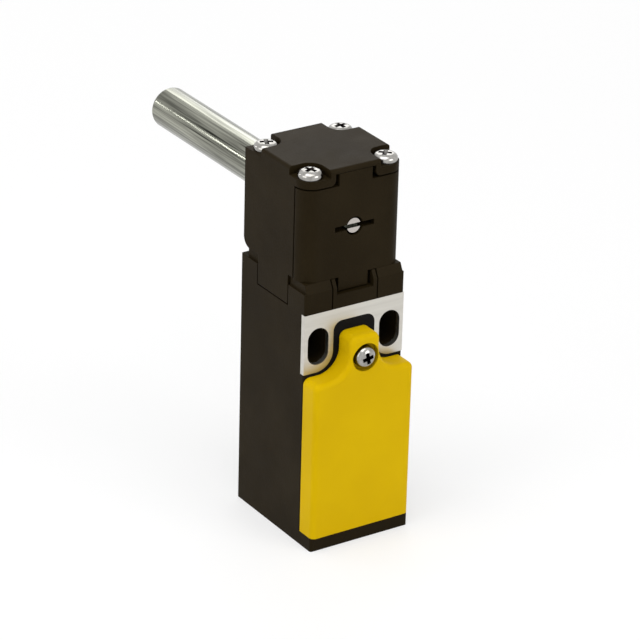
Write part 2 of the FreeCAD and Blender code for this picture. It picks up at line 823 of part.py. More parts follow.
def make_bushes():
    front_bush = new_body("front_bush")
    bore = dim.journal_radius + dim.running_gap
    flange = dim.front_bush_radius + dim.bush_flange_width
    flange_back = chamber_front + dim.bush_flange_thickness
    outline = [
        (front_bush_front, bore),
        (flange_back, bore),
        (flange_back, flange),
        (chamber_front, flange),
        (chamber_front, dim.front_bush_radius),
        (front_bush_front, dim.front_bush_radius),
    ]
    turn_along_y(front_bush, ZERO, shaft_axis, outline)
    rear_bush = new_body("rear_bush")
    bore = dim.rear_journal_radius + dim.running_gap
    flange = dim.rear_bush_radius + dim.bush_flange_width
    outline = [
        (rear_flange_front, bore),
        (block_back, bore),
        (block_back, dim.rear_bush_radius),
        (chamber_back, dim.rear_bush_radius),
        (chamber_back, flange),
        (rear_flange_front, flange),
    ]
    turn_along_y(rear_bush, ZERO, shaft_axis, outline)


def make_shaft_rings():
    bore = dim.rear_journal_radius + dim.running_gap
    seal = new_body("shaft_seal")
    turn_along_y(seal, ZERO, shaft_axis, ring_outline(bore, dim.rear_bush_radius, shell_back_inner, seal_back))
    washer = new_body("thrust_washer")
    flange = dim.rear_bush_radius + dim.bush_flange_width
    turn_along_y(washer, ZERO, shaft_axis, ring_outline(bore, flange, washer_front, washer_back))
    clip = new_body("retaining_clip")
    groove = dim.cam_seat_radius - dim.clip_groove_depth
    turn_along_y(clip, ZERO, shaft_axis, ring_outline(groove, dim.clip_radius, clip_front, clip_back))
    gap = rect(-dim.stub_radius, dim.stub_radius, shaft_axis, shaft_axis + dim.clip_radius)
    cut(clip, "XZ", clip_front, clip_back, gap)


def make_shaft():
    body = new_body("shaft")
    groove = dim.cam_seat_radius - dim.clip_groove_depth
    journal_front = front_bush_front + dim.fit_gap
    outline = [
        (stub_front, ZERO),
        (stub_front, dim.stub_radius),
        (journal_front, dim.stub_radius),
        (journal_front, dim.journal_radius),
        (seat_front, dim.journal_radius),
        (seat_front, dim.cam_seat_radius),
        (clip_front, dim.cam_seat_radius),
        (clip_front, groove),
        (clip_back, groove),
        (clip_back, dim.cam_seat_radius),
        (cam_back, dim.cam_seat_radius),
        (cam_back, dim.rear_journal_radius),
        (shoulder_front, dim.rear_journal_radius),
        (shoulder_front, dim.shaft_radius),
        (dim.shaft_reach, dim.shaft_radius, dim.shaft_end_radius),
        (dim.shaft_reach, ZERO),
    ]
    turn_along_y(body, ZERO, shaft_axis, outline)
    slot_half = dim.stub_slot_width / 2
    screw_slot = rect(-dim.stub_radius, dim.stub_radius, shaft_axis - slot_half, shaft_axis + slot_half)
    cut(body, "XZ", stub_front, stub_front + dim.stub_slot_depth, screw_slot)
    pin_hole = disc(head_middle, shaft_axis, dim.cam_pin_radius)
    cut(body, "YZ", -dim.cam_seat_radius, dim.cam_seat_radius, pin_hole)


def make_cam():
    """Heart cam: its radius grows evenly with the angle, the same on both sides of the low point."""
    base = dim.cam_base_radius.value
    rise = dim.cam_rise_per_radian.value
    halves = []
    for side in (1, -1):
        points = []
        for step in range(CAM_CURVE_POINTS):
            angle = HALF_TURN * step / (CAM_CURVE_POINTS - 1)
            radius = base + rise * angle
            points.append(FreeCAD.Vector(side * radius * math.sin(angle), 0, -radius * math.cos(angle)))
        curve = Part.BSplineCurve()
        curve.interpolate(points)
        halves.append(curve.toShape())
    along = FreeCAD.Vector(0, 1, 0)
    width = dim.cam_width.value
    solid = Part.Face(Part.Wire(halves)).extrude(along * width)
    bore = Part.makeCylinder(dim.cam_seat_radius.value, width, FreeCAD.Vector(), along)
    reach = cam_tip_radius.value
    pin_start = FreeCAD.Vector(-reach, width / 2, 0)
    pin_hole = Part.makeCylinder(dim.cam_pin_radius.value, 2 * reach, pin_start, FreeCAD.Vector(1, 0, 0))
    cam = doc.addObject("Part::Feature", "cam")
    cam.Label = "cam"
    cam.Shape = solid.cut(bore).cut(pin_hole)
    cam.Placement = FreeCAD.Placement(FreeCAD.Vector(0, cam_front.value, shaft_axis.value), FreeCAD.Rotation())
    nodes.append(cam)


def make_cam_pin():
    body = new_body("cam_pin")
    reach = dim.cam_base_radius
    pad(body, "YZ", -reach, reach, disc(head_middle, shaft_axis, dim.cam_pin_radius))


# Plunger and contacts


def make_plunger():
    guide = new_body("plunger_guide")
    bore = dim.plunger_radius + dim.guide_gap
    outline = [
        (bore, guide_bottom),
        (dim.guide_radius, guide_bottom),
        (dim.guide_radius, socket_floor),
        (dim.guide_flange_radius, socket_floor),
        (dim.guide_flange_radius, guide_top),
        (bore, guide_top),
    ]
    turn_along_z(guide, ZERO, head_middle, outline)
    plunger = new_body("plunger")
    outline = [
        (ZERO, plunger_tip),
        (dim.plunger_radius, plunger_tip, dim.plunger_radius),
        (dim.plunger_radius, plunger_collar_top),
        (dim.plunger_collar_radius, plunger_collar_top),
        (dim.plunger_collar_radius, plunger_collar_bottom),
        (dim.plunger_radius, plunger_collar_bottom),
        (dim.plunger_radius, plunger_bottom),
        (ZERO, plunger_bottom),
    ]
    turn_along_z(plunger, ZERO, head_middle, outline)


def make_return_spring():
    wire = dim.spring_wire_radius
    length = plunger_collar_bottom - guide_top - wire * 2
    coil = doc.addObject("Part::Helix", "return_spring_coil")
    coil.setExpression("Radius", dim.spring_radius.text)
    coil.setExpression("Height", length.text)
    coil.setExpression("Pitch", f"{length.text} / {dim.spring_turns.text}")
    section = doc.addObject("Part::RegularPolygon", "return_spring_section")
    section.Polygon = SPRING_WIRE_SIDES
    section.setExpression("Circumradius", wire.text)
    section.setExpression("Placement.Base.x", dim.spring_radius.text)
    section.Placement.Rotation = FreeCAD.Rotation(FreeCAD.Vector(1, 0, 0), 90)
    doc.recompute()
    spring = doc.addObject("Part::Sweep", "return_spring")
    spring.Label = "return_spring"
    spring.Sections = [section]
    spring.Spine = (coil, [f"Edge{index}" for index in range(1, len(coil.Shape.Edges) + 1)])
    spring.Solid = True
    spring.Frenet = True
    spring.setExpression("Placement.Base.y", head_middle.text)
    spring.setExpression("Placement.Base.z", (guide_top + wire).text)
    nodes.append(spring)


def spring_span(level, kind):
    """Lowest and highest level of a bridge's spring: under a breaking bridge, over a making one."""
    if kind == BREAK:
        return level - dim.contact_spring_height, level
    top = level + dim.bridge_thickness
    return top, top + dim.contact_spring_height


def make_carrier():
    body = new_body("contact_carrier")
    half = dim.carrier_width / 2
    deep = dim.carrier_depth / 2
    outline = rect(-half, half, head_middle - deep, head_middle + deep)
    pad(body, "XY", carrier_bottom, plunger_bottom, outline)
    window_half = dim.bridge_width / 2
    for level, kind in bridge_levels:
        low, high = spring_span(level, kind)
        window_low = low if kind == BREAK else level
        window_high = level + dim.bridge_thickness if kind == BREAK else high
        window = rect(head_middle - window_half, head_middle + window_half, window_low, window_high)
        cut(body, "YZ", -half, half, window)


def make_bridges():
    body = new_body("contact_bridges")
    half = dim.bridge_span / 2
    deep = dim.bridge_width / 2
    outline = rect(-half, half, head_middle - deep, head_middle + deep)
    tips = [disc(x, head_middle, dim.bridge_tip_radius) for x in (-strip_middle, strip_middle)]
    for level, kind in bridge_levels:
        top = level + dim.bridge_thickness
        pad(body, "XY", level, top, outline)
        if kind == BREAK:
            pad(body, "XY", top, top + dim.bridge_tip_height, *tips)
        else:
            pad(body, "XY", level - dim.bridge_tip_height, level, *tips)


def make_contact_springs():
    """A bent leaf under or over each bridge, inside the carrier's window."""
    body = new_body("contact_springs")
    half = dim.carrier_width / 4
    deep = dim.bridge_width / 2
    leaf = dim.contact_spring_thickness
    for level, kind in bridge_levels:
        low, high = spring_span(level, kind)
        outline = [
            (head_middle - deep, low),
            (head_middle + deep, low),
            (head_middle + deep, high),
            (head_middle - deep, high),
            (head_middle - deep, high - leaf),
            (head_middle + deep - leaf, high - leaf),
            (head_middle + deep - leaf, low + leaf),
            (head_middle - deep, low + leaf),
        ]
        pad(body, "YZ", -half, half, outline)


def make_contact_block():
    body = new_body("contact_block")
    outline = rect(-contact_block_half, contact_block_half, contact_front, cavity_back)
    pad(body, "XY", contact_block_bottom, contact_block_top, outline)
    channel_half = dim.carrier_width / 2 + dim.carrier_gap
    channel_deep = dim.carrier_depth / 2 + dim.carrier_gap
    channel = rect(-channel_half, channel_half, head_middle - channel_deep, head_middle + channel_deep)
    channel_bottom = carrier_bottom - plunger_travel - dim.carrier_gap
    cut(body, "XY", channel_bottom, contact_block_top, channel)
    window_half = dim.bridge_span / 2 + dim.carrier_gap * 3
    window_deep = dim.bridge_width / 2 + dim.carrier_gap * 2
    strip_half = dim.strip_width / 2
    for level, kind in bridge_levels:
        strip = strip_level(level, kind)
        lowest = level - dim.bridge_tip_height - plunger_travel - dim.carrier_gap
        low = lowest if kind == BREAK else strip
        high = strip + dim.strip_thickness if kind == BREAK else level + dim.bridge_thickness + dim.carrier_gap
        cut(
            body,
            "YZ",
            -window_half,
            window_half,
            rect(head_middle - window_deep, head_middle + window_deep, low, high),
        )
        for middle in (-strip_middle, strip_middle):
            groove = rect(middle - strip_half, middle + strip_half, strip, strip + dim.strip_thickness)
            cut(body, "XZ", contact_front, head_middle, groove)
    shank_end = clamp_front + dim.terminal_shank_length
    pilots = [disc(x, z, dim.terminal_shank_radius) for x, z in terminal_places()]
    cut(body, "XZ", contact_front, shank_end, *pilots)
    block_screws = (-block_screw_across, block_screw_across)
    holes = [disc(x, block_screw_height, dim.block_screw_shank_radius) for x in block_screws]
    cut(body, "XZ", contact_front, cavity_back, *holes)


def make_contact_block_screws():
    body = new_body("contact_block_screws")
    outline = screw_outline(
        contact_front,
        contact_front - dim.block_screw_head_height,
        cavity_back + dim.block_screw_grip,
        dim.block_screw_head_radius,
        dim.block_screw_shank_radius,
    )
    for x in (-block_screw_across, block_screw_across):
        turn_along_y(body, x, block_screw_height, outline)


def make_terminals():
    strips = new_body("fixed_contacts")
    strip_half = dim.strip_width / 2
    blade_back = head_middle + dim.bridge_width / 2
    for level, kind in bridge_levels:
        low = strip_level(level, kind)
        high = low + dim.strip_thickness
        outline = [
            (strip_front, low),
            (blade_back, low),
            (blade_back, high),
            (contact_front, high),
            (contact_front, high + dim.strip_leg_length),
            (strip_front, high + dim.strip_leg_length),
        ]
        for middle in (-strip_middle, strip_middle):
            pad(strips, "YZ", middle - strip_half, middle + strip_half, outline)
    holes = [disc(x, z, dim.terminal_shank_radius) for x, z in terminal_places()]
    cut(strips, "XZ", strip_front, contact_front, *holes)
    clamps = new_body("terminal_clamps")
    half = dim.terminal_clamp_side / 2
    screws = new_body("terminal_screws")
    outline = screw_outline(
        clamp_front,
        clamp_front - dim.terminal_head_height,
        clamp_front + dim.terminal_shank_length,
        dim.terminal_head_radius,
        dim.terminal_shank_radius,
    )
    for x, z in terminal_places():
        hole = disc(x, z, dim.terminal_shank_radius)
        pad(clamps, "XZ", clamp_front, strip_front, rect(x - half, x + half, z - half, z + half), hole)
        turn_along_y(screws, x, z, outline)


def check_and_write():
    """Stops on any failed feature or solid, then writes every piece."""
    doc.recompute()
    for item in doc.Objects:
        if "Invalid" in item.State or "Error" in item.State:
            raise RuntimeError(f"{item.Name} failed: {item.State}")
        if item.TypeId == "PartDesign::Pocket" and item.Shape.Volume > item.BaseFeature.Shape.Volume - NEAR:
            raise RuntimeError(f"{item.Name} cuts nothing")
    os.makedirs("parts", exist_ok=True)
    for node in nodes:
        if node.Shape.isNull() or not node.Shape.isValid() or not node.Shape.Solids:
            raise RuntimeError(f"{node.Label} has no valid solid")
    for node in nodes:
        node.Shape.exportStep(f"parts/{node.Label}.step")


make_housing()
make_mounting_plate()
make_cover_seal()
make_cover()
make_cover_screw()
make_head_key()
make_head_seal()
make_head_block()
make_head_shell()
make_head_screws()
make_bushes()
make_shaft_rings()
make_shaft()
make_cam()
make_cam_pin()
make_plunger()
make_return_spring()
make_carrier()
make_bridges()
make_contact_springs()
make_contact_block()
make_contact_block_screws()
make_terminals()
check_and_write()
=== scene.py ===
import json
import math

import bmesh
import bpy
from mathutils import Matrix, Vector


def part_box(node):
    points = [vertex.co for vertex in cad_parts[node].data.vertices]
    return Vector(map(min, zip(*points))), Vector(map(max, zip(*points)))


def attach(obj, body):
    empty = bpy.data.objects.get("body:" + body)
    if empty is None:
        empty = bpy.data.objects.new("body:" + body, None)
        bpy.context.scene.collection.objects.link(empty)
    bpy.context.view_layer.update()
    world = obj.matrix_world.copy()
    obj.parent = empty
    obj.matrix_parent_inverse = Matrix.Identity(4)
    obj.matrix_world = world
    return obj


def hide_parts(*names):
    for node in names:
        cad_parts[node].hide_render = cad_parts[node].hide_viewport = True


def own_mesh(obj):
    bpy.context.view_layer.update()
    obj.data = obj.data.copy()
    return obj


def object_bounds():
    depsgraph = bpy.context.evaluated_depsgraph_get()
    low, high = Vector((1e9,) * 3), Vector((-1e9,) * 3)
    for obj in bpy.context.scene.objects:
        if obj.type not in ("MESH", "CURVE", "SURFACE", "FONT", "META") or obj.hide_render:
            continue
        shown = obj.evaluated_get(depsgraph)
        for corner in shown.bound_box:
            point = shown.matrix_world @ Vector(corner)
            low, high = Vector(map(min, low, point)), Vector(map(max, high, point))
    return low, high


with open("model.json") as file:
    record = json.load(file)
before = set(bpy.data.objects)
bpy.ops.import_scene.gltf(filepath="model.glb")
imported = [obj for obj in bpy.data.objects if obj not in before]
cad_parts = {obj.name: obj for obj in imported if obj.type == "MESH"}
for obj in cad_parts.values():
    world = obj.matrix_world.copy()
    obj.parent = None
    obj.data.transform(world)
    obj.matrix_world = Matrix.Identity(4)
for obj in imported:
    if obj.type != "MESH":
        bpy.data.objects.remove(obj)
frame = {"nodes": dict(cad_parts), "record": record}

MM = 0.001
FULL_TURN = 2 * math.pi
QUARTER_TURN = math.pi / 2
solids_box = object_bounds()

# The photograph's camera, found from the edges of the body and the head
IMAGE_PIXELS = 640
CAMERA_AZIMUTH = math.radians(-33.62)
CAMERA_ELEVATION = math.radians(25.7)
CAMERA_ROLL = math.radians(1.64)
CAMERA_DISTANCE = 0.7719
CAMERA_LENS_MM = 202.2
CAMERA_SENSOR_MM = 36.0
CAMERA_CLIP_START = 0.01
AIM_POINT = Vector((0.0, -0.0155, -0.00518))
AIM_PIXEL = (327.5, 341.5)

# Screws: the rounded crown and the cross recess, as shares of the head's radius and height
CROWN_WIDTH = 0.62
CROWN_DROP = 0.62
CROWN_STEPS = 6
RECESS_REACH = 0.74
RECESS_WIDTH = 0.45
RECESS_DEPTH = 0.7
RECESS_TAPER = (0.45, 0.6, 1.0)
SCREW_STEPS = 48
MERGE_DISTANCE = 1e-7

# Screws: their sizes, and how far round each recess was left
COVER_SCREW_HEAD_HEIGHT = 2.6 * MM
COVER_SCREW_SHANK_RADIUS = 1.4 * MM
COVER_SCREW_TURN = math.radians(12)
HEAD_SCREW_HEAD_RADIUS = 2.7 * MM
HEAD_SCREW_HEAD_HEIGHT = 1.7 * MM
HEAD_SCREW_SHANK_RADIUS = 1.15 * MM
HEAD_SCREW_TURNS = [math.radians(degrees) for degrees in (20, 65, 48, 5)]

# Thread in the cable entry
ENTRY_PITCH = 1.5 * MM
ENTRY_THREAD_HEIGHT = 0.3 * MM
ENTRY_THREAD_ROOT = 0.05 * MM
ENTRY_THREAD_TURNS = 4
ENTRY_THREAD_STEPS = 40

# Return spring
SPRING_WIRE_RADIUS = 0.35 * MM
SPRING_WIRE_SIDES = 12
SPRING_TURNS = 3
SPRING_STEPS = 40

# Added pieces are shaded smooth except at edges sharper than this
SMOOTH_ANGLE = math.radians(35)

# Patterns: where a noise reaches the darker and the lighter tone, and how it is stretched along an axis
TONE_DARK_END = 0.35
TONE_LIGHT_END = 0.68
EVEN = (1.0, 1.0, 1.0)
ALONG_X = (0.03, 1.0, 1.0)
ALONG_Y = (1.0, 0.02, 1.0)

# Moulded plastic: scale and detail of its tone and gloss, detail of its grain, and width of its soft edges
PLASTIC_TONE = (60.0, 3.0)
PLASTIC_GLOSS = (220.0, 2.0)
PLASTIC_GRAIN_DETAIL = 2.0
SOFT_EDGE = 0.25 * MM

# Worked metal: scale and detail of its fine lines and of its gloss
METAL_LINES = (900.0, 4.0)
METAL_GLOSS = (300.0, 3.0)

# Painted shade on metal, darkening its corners and recesses: how open a corner is where the shade is darkest
# and where there is none, and its darkest tone
CORNER_SHADE_FULL = 0.25
CORNER_SHADE_NONE = 0.85
CORNER_SHADE_DARKEST = 0.08

# The shaft: scale and detail of its lines and streaks, and how far the streaks are shifted; scale and shift
# place a painted dark reflection band above the bright line and a painted lighter lower half
SHAFT_LINES = (2400.0, 3.0)
SHAFT_STREAKS_AND_REFLECTION = (160.0, 2.0)
PAINTED_REFLECTION_SHIFT = (0.046, 0.0, 0.008)
SHAFT_SCRATCH = 0.0015 * MM
# Reach of the painted shade in the shaft's corners
SHAFT_CORNER_SHADE = 1.5 * MM

# The shaft's ends: how deep its turned faces go, and how close and how uneven their rings are
SHAFT_FACE = 0.2 * MM
TURNED_RINGS = 900.0
TURNED_UNEVEN = 1.5

# Surround and floor
WHITE = (1.0, 1.0, 1.0, 1.0)
WORLD_LIGHT = 0.42
FLOOR_SIZE = 6.0
FLOOR_GAP = 0.02 * MM
FLOOR_DARK = (0.92, 0.92, 0.92)
FLOOR_LIGHT = (0.94, 0.94, 0.94)
FLOOR_TONE = (3.0, 2.0)
FLOOR_ROUGHNESS = 0.9

# The floor's share of plain white: how much near the switch, and the distances over which it becomes full
FLOOR_WHITE = 0.55
FLOOR_NEAR = 0.1
FLOOR_FAR = 0.6


# Patterns for the finishes


def new_material(name):
    """A material, with its nodes, its links and its shader."""
    material = bpy.data.materials.new(name)
    material.use_nodes = True
    nodes = material.node_tree.nodes
    return material, nodes, material.node_tree.links, nodes["Principled BSDF"]


def object_noise(nodes, links, scale, detail, stretch=EVEN, shift=(0.0, 0.0, 0.0)):
    """Noise on the piece's own coordinates, stretched along its axes and shifted."""
    place = nodes.new("ShaderNodeTexCoord")
    mapping = nodes.new("ShaderNodeMapping")
    mapping.inputs["Scale"].default_value = stretch
    mapping.inputs["Location"].default_value = shift
    noise = nodes.new("ShaderNodeTexNoise")
    noise.inputs["Scale"].default_value = scale
    noise.inputs["Detail"].default_value = detail
    links.new(place.outputs["Object"], mapping.inputs["Vector"])
    links.new(mapping.outputs["Vector"], noise.inputs["Vector"])
    return noise.outputs["Fac"]


def tone_between(nodes, links, pattern, dark, light):
    """A colour that a pattern carries from a darker tone to a lighter one."""
    ramp = nodes.new("ShaderNodeValToRGB")
    ramp.color_ramp.elements[0].position = TONE_DARK_END
    ramp.color_ramp.elements[0].color = (*dark, 1.0)
    ramp.color_ramp.elements[1].position = TONE_LIGHT_END
    ramp.color_ramp.elements[1].color = (*light, 1.0)
    links.new(pattern, ramp.inputs["Fac"])
    return ramp.outputs["Color"]


def vary_roughness(nodes, links, pattern, roughness, shader):
    """Lets a pattern carry the roughness between two values."""
    span = nodes.new("ShaderNodeMapRange")
    span.inputs["To Min"].default_value = roughness[0]
    span.inputs["To Max"].default_value = roughness[1]
    links.new(pattern, span.inputs["Value"])
    links.new(span.outputs["Result"], shader.inputs["Roughness"])


def raise_grain(nodes, links, pattern, depth, shader, soft_edge=0.0):
    """Raises the surface a little with a pattern, over edges that may be softened."""
    bump = nodes.new("ShaderNodeBump")
    bump.inputs["Strength"].default_value = 1.0
    bump.inputs["Distance"].default_value = depth
    links.new(pattern, bump.inputs["Height"])
    if soft_edge:
        edges = nodes.new("ShaderNodeBevel")
        edges.inputs["Radius"].default_value = soft_edge
        links.new(edges.outputs["Normal"], bump.inputs["Normal"])
    links.new(bump.outputs["Normal"], shader.inputs["Normal"])


def painted_corner_shade(nodes, links, colour, distance):
    """A colour darkened in corners and recesses nearer than a distance: painted shade."""
    # Ambient occlusion darkens the colour here: painted shade in corners and recesses
    corners = nodes.new("ShaderNodeAmbientOcclusion")
    corners.inputs["Distance"].default_value = distance
    span = nodes.new("ShaderNodeMapRange")
    span.inputs["From Min"].default_value = CORNER_SHADE_FULL
    span.inputs["From Max"].default_value = CORNER_SHADE_NONE
    span.inputs["To Min"].default_value = CORNER_SHADE_DARKEST
    mix = nodes.new("ShaderNodeMix")
    mix.data_type = "RGBA"
    mix.blend_type = "MULTIPLY"
    mix.inputs["Factor"].default_value = 1.0
    links.new(corners.outputs["AO"], span.inputs["Value"])
    links.new(colour, mix.inputs["A"])
    links.new(span.outputs["Result"], mix.inputs["B"])
    return mix.outputs["Result"]


def middle_of(nodes, links, first, second):
    """The mean of two patterns."""
    total = nodes.new("ShaderNodeMath")
    total.operation = "ADD"
    links.new(first, total.inputs[0])
    links.new(second, total.inputs[1])
    half = nodes.new("ShaderNodeMath")
    half.operation = "MULTIPLY"
    half.inputs[1].default_value = 0.5
    links.new(total.outputs[0], half.inputs[0])
    return half.outputs[0]


def shaft_rings(nodes, links, axis_height):
    """Rings about the shaft's axis, as a lathe tool leaves them on a face."""
    place = nodes.new("ShaderNodeTexCoord")
    mapping = nodes.new("ShaderNodeMapping")
    mapping.inputs["Location"].default_value = (0.0, 0.0, -axis_height)
    rings = nodes.new("ShaderNodeTexWave")
    rings.wave_type = "RINGS"
    rings.rings_direction = "Y"
    rings.inputs["Scale"].default_value = TURNED_RINGS
    rings.inputs["Distortion"].default_value = TURNED_UNEVEN
    links.new(place.outputs["Object"], mapping.inputs["Vector"])
    links.new(mapping.outputs["Vector"], rings.inputs["Vector"])
    return rings.outputs["Fac"]


def between_depths(nodes, links, front, back):
    """One where the piece lies between two depths, and zero elsewhere."""
    place = nodes.new("ShaderNodeTexCoord")
    axes = nodes.new("ShaderNodeSeparateXYZ")
    within = nodes.new("ShaderNodeMath")
    within.operation = "COMPARE"
    within.inputs[1].default_value = (front + back) / 2
    within.inputs[2].default_value = (back - front) / 2
    links.new(place.outputs["Object"], axes.inputs["Vector"])
    links.new(axes.outputs["Y"], within.inputs[0])
    return within.outputs[0]


# Finishes


def moulded_plastic(name, dark, light, roughness, gloss, grain_scale, grain_depth):
    """A moulded plastic with a spark-eroded grain and slow changes of tone."""
    material, nodes, links, shader = new_material(name)
    shader.inputs["Specular IOR Level"].default_value = gloss
    colour = tone_between(nodes, links, object_noise(nodes, links, *PLASTIC_TONE), dark, light)
    links.new(colour, shader.inputs["Base Color"])
    vary_roughness(nodes, links, object_noise(nodes, links, *PLASTIC_GLOSS), roughness, shader)
    grain = object_noise(nodes, links, grain_scale, PLASTIC_GRAIN_DETAIL)
    raise_grain(nodes, links, grain, grain_depth, shader, SOFT_EDGE)
    return material


def worked_metal(name, dark, light, roughness, stretch, scratch_depth, corner_shade_distance=None):
    """A metal with fine lines along the way it was rolled, drawn or turned, and painted shade in its
    corners.
    """
    material, nodes, links, shader = new_material(name)
    shader.inputs["Metallic"].default_value = 1.0
    lines = object_noise(nodes, links, *METAL_LINES, stretch)
    colour = tone_between(nodes, links, lines, dark, light)
    # Painted shade: the colour is darkened in corners and recesses
    if corner_shade_distance:
        colour = painted_corner_shade(nodes, links, colour, corner_shade_distance)
    links.new(colour, shader.inputs["Base Color"])
    vary_roughness(nodes, links, object_noise(nodes, links, *METAL_GLOSS, stretch), roughness, shader)
    raise_grain(nodes, links, lines, scratch_depth, shader)
    return material


def drawn_shaft_steel(name, skin, turned_face, roughness):
    """Drawn bar with fine lines in broader streaks along it, placed so that they paint a dark reflection
    band above the bright line and a lighter lower half, and bright turned faces at its ends.
    """
    material, nodes, links, shader = new_material(name)
    shader.inputs["Metallic"].default_value = 1.0
    low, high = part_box("shaft")
    lines = object_noise(nodes, links, *SHAFT_LINES, ALONG_Y)
    # Streaks of tone, placed to paint a dark reflection band above the bright line and a lighter lower half
    streaks_and_reflection = object_noise(nodes, links, *SHAFT_STREAKS_AND_REFLECTION, ALONG_Y, PAINTED_REFLECTION_SHIFT)
    skin_colour = tone_between(nodes, links, middle_of(nodes, links, lines, streaks_and_reflection), *skin)
    rings = shaft_rings(nodes, links, (low[2] + high[2]) / 2)
    face_colour = tone_between(nodes, links, rings, *turned_face)
    on_skin = between_depths(nodes, links, low[1] + SHAFT_FACE, high[1] - SHAFT_FACE)
    mix = nodes.new("ShaderNodeMix")
    mix.data_type = "RGBA"
    links.new(on_skin, mix.inputs["Factor"])
    links.new(face_colour, mix.inputs["A"])
    links.new(skin_colour, mix.inputs["B"])
    # Painted shade in the shaft's corners, where it meets other parts
    colour = painted_corner_shade(nodes, links, mix.outputs["Result"], SHAFT_CORNER_SHADE)
    links.new(colour, shader.inputs["Base Color"])
    vary_roughness(nodes, links, streaks_and_reflection, roughness, shader)
    raise_grain(nodes, links, lines, SHAFT_SCRATCH, shader)
    return material


def make_plastics():
    """The moulded finishes, by the record's slots."""
    return {
        "black_plastic": moulded_plastic(
            "black_plastic",
            dark=(0.013, 0.0085, 0.0028),
            light=(0.019, 0.013, 0.005),
            roughness=(0.44, 0.56),
            gloss=0.04,
            grain_scale=2600.0,
            grain_depth=0.03 * MM,
        ),
        "yellow_plastic": moulded_plastic(
            "yellow_plastic",
            dark=(0.62, 0.40, 0.0),
            light=(0.66, 0.435, 0.0),
            roughness=(0.40, 0.52),
            gloss=0.04,
            grain_scale=2200.0,
            grain_depth=0.02 * MM,
        ),
        "pale_plastic": moulded_plastic(
            "pale_plastic",
            dark=(0.52, 0.49, 0.42),
            light=(0.58, 0.55, 0.48),
            roughness=(0.45, 0.58),
            gloss=0.4,
            grain_scale=2200.0,
            grain_depth=0.02 * MM,
        ),
        "seal_rubber": moulded_plastic(
            "seal_rubber",
            dark=(0.003, 0.003, 0.003),
            light=(0.006, 0.005, 0.005),
            roughness=(0.7, 0.85),
            gloss=0.1,
            grain_scale=3000.0,
            grain_depth=0.02 * MM,
        ),
    }


def make_metals():
    """The metal finishes, by the record's slots."""
    return {
        "plate_steel": worked_metal(
            "plate_steel",
            dark=(0.56, 0.54, 0.49),
            light=(0.62, 0.60, 0.55),
            roughness=(0.30, 0.42),
            stretch=ALONG_X,
            scratch_depth=0.004 * MM,
            # Painted shade near the plate's inner edge and in its other corners
            corner_shade_distance=2.5 * MM,
        ),
        "shaft_steel": drawn_shaft_steel(
            "shaft_steel",
            # The skin's dark tone paints the dark reflection band above the bright line, and its light tone
            # paints the lighter lower half
            skin=((0.02, 0.021, 0.016), (0.48, 0.485, 0.41)),
            turned_face=((0.46, 0.43, 0.40), (0.54, 0.50, 0.47)),
            roughness=(0.14, 0.22),
        ),
        "screw_steel": worked_metal(
            "screw_steel",
            dark=(0.28, 0.27, 0.25),
            light=(0.42, 0.41, 0.39),
            roughness=(0.14, 0.24),
            stretch=EVEN,
            scratch_depth=0.003 * MM,
            # Painted shade in the screws' cross recesses and round their heads
            corner_shade_distance=1.4 * MM,
        ),
        "spring_steel": worked_metal(
            "spring_steel",
            dark=(0.30, 0.30, 0.30),
            light=(0.38, 0.38, 0.37),
            roughness=(0.25, 0.38),
            stretch=EVEN,
            scratch_depth=0.003 * MM,
        ),
        "bearing_bronze": worked_metal(
            "bearing_bronze",
            dark=(0.36, 0.22, 0.10),
            light=(0.44, 0.28, 0.13),
            roughness=(0.28, 0.40),
            stretch=EVEN,
            scratch_depth=0.003 * MM,
        ),
        "contact_brass": worked_metal(
            "contact_brass",
            dark=(0.55, 0.39, 0.15),
            light=(0.63, 0.46, 0.19),
            roughness=(0.22, 0.34),
            stretch=ALONG_Y,
            scratch_depth=0.003 * MM,
        ),
    }


finishes = {**make_plastics(), **make_metals()}


def paint(piece, slot_name):
    """Gives a piece the finish of a slot."""
    piece.data.materials.clear()
    piece.data.materials.append(finishes[slot_name])


node_slots = {item["node"]: item["material_slot"] for item in frame["record"]["subparts"]}
for node_name, node in frame["nodes"].items():
    paint(node, node_slots[node_name])


# Objects from meshes


def plain_object(name, mesh_builder):
    """Turns a bmesh into an object, with its faces pointing outwards."""
    bmesh.ops.recalc_face_normals(mesh_builder, faces=mesh_builder.faces)
    mesh = bpy.data.meshes.new(name)
    mesh_builder.to_mesh(mesh)
    mesh_builder.free()
    item = bpy.data.objects.new(name, mesh)
    bpy.context.scene.collection.objects.link(item)
    return item


def finished_piece(name, mesh_builder, slot_name, body):
    """Turns a bmesh into a painted piece that rides on a body, smooth except at its sharp edges."""
    piece = plain_object(name, mesh_builder)
    piece.data.polygons.foreach_set("use_smooth", [True] * len(piece.data.polygons))
    piece.data.set_sharp_from_angle(angle=SMOOTH_ANGLE)
    paint(piece, slot_name)
    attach(piece, body)
    return piece


# Screws with a cross recess


def turned(profile):
    """A closed turned form about Z, from a half outline that starts and ends on the axis."""
    form = bmesh.new()
    points = [form.verts.new((radius, 0.0, height)) for radius, height in profile]
    edges = [form.edges.new(pair) for pair in zip(points, points[1:])]
    bmesh.ops.spin(
        form,
        geom=points + edges,
        cent=(0.0, 0.0, 0.0),
        axis=(0.0, 0.0, 1.0),
        angle=FULL_TURN,
        steps=SCREW_STEPS,
        use_merge=True,
    )
    bmesh.ops.remove_doubles(form, verts=form.verts, dist=MERGE_DISTANCE)
    return form


